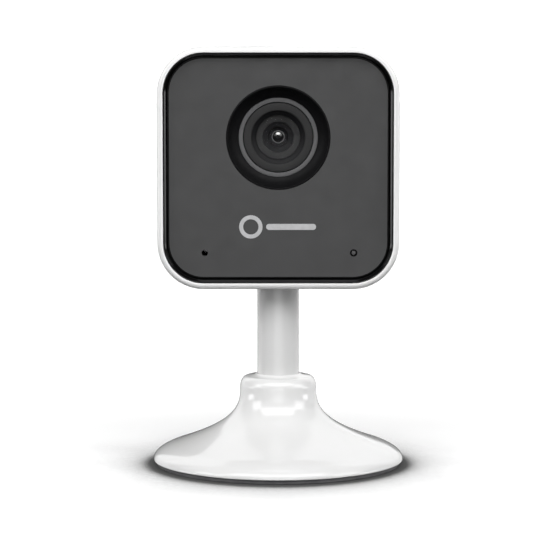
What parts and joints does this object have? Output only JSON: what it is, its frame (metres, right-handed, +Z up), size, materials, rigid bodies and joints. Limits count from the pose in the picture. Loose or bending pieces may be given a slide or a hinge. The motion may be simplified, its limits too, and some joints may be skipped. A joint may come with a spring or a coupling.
{
  "type": "security camera",
  "caption": "Small indoor security camera: a square head with a dark recessed front and one lens tilts on a round stem that swivels in a flared round foot.",
  "frame": {"origin": "centre of the foot's underside, on the surface that the camera stands on", "axes": "+Z up along the stem, -Y the way the camera looks, +X to the right of someone facing the camera's front"},
  "size_m": [0.0632, 0.0632, 0.1056],
  "materials": {
    "white_gloss": "glossy moulded white plastic",
    "panel_grey": "satin dark grey plastic with a soft sheen",
    "black_plastic": "fine satin black plastic",
    "ring_grey": "satin mid grey plastic",
    "barrel_black": "satin charcoal plastic",
    "lens_glass": "polished coated glass",
    "filter_glass": "pale blue-green filter glass",
    "pad_rubber": "matt mid grey rubber",
    "seal_rubber": "matt black rubber",
    "steel": "plain steel",
    "zinc_steel": "bright plated steel",
    "aluminium": "satin aluminium",
    "board_green": "green solder mask",
    "chip_black": "moulded black resin",
    "acetal": "natural white low-friction plastic",
    "clear_plastic": "frosted clear plastic"
  },
  "bodies": {
    "foot": {"foot_shell": "white_gloss", "foot_cover": "black_plastic", "foot_pad": "pad_rubber", "ballast_weight": "steel", "cover_screw_1": "zinc_steel", "cover_screw_2": "zinc_steel", "cover_screw_3": "zinc_steel"},
    "stem": {"stem_sleeve": "white_gloss", "stem_core": "steel", "seat_washer": "acetal", "spring_washer": "zinc_steel", "retaining_clip": "zinc_steel"},
    "head": {"rear_shell": "white_gloss", "front_panel": "panel_grey", "lens_cone": "black_plastic", "lens_ring": "ring_grey", "lens_barrel": "barrel_black", "front_lens": "lens_glass", "aperture_ring": "black_plastic", "middle_lens": "lens_glass", "lens_spacer": "black_plastic", "rear_lens": "lens_glass", "lens_retainer": "barrel_black", "lens_holder": "barrel_black", "infrared_filter": "filter_glass", "image_sensor": "chip_black", "lamp_board": "board_green", "infrared_lamp_1": "clear_plastic", "infrared_lamp_2": "clear_plastic", "infrared_lamp_3": "clear_plastic", "infrared_lamp_4": "clear_plastic", "main_board": "board_green", "board_screw_1": "zinc_steel", "board_screw_2": "zinc_steel", "board_screw_3": "zinc_steel", "board_screw_4": "zinc_steel", "radio_shield": "zinc_steel", "radio_chip": "chip_black", "processor": "chip_black", "heat_spreader": "aluminium", "antenna": "acetal", "microphone": "zinc_steel", "microphone_boot": "seal_rubber", "status_light": "clear_plastic", "light_pipe": "clear_plastic", "speaker": "chip_black", "speaker_seal": "seal_rubber", "power_inlet": "zinc_steel", "reset_switch": "chip_black", "tilt_bracket": "steel", "tilt_washer_left": "acetal", "tilt_washer_right": "acetal", "bracket_screw_left": "zinc_steel", "bracket_screw_right": "zinc_steel", "tilt_pin": "steel", "tilt_nut": "zinc_steel"},
    "button": {"reset_button": "panel_grey"}
  },
  "joints": [
    {"name": "stem_swivel", "type": "hinge", "parent": "foot", "child": "stem", "pos_m": [0, 0, 0.02], "axis": [0, 0, 1], "continuous": true},
    {"name": "head_tilt", "type": "hinge", "parent": "stem", "child": "head", "pos_m": [0, 0, 0.0511], "axis": [1, 0, 0], "range_deg": [-60, 20]},
    {"name": "reset_button_press", "type": "slide", "parent": "head", "child": "button", "axis": [0, -1, 0], "range_m": [0, 0.0004], "stiffness_N_per_m": 500, "springref_m": -0.0005}
  ]
}
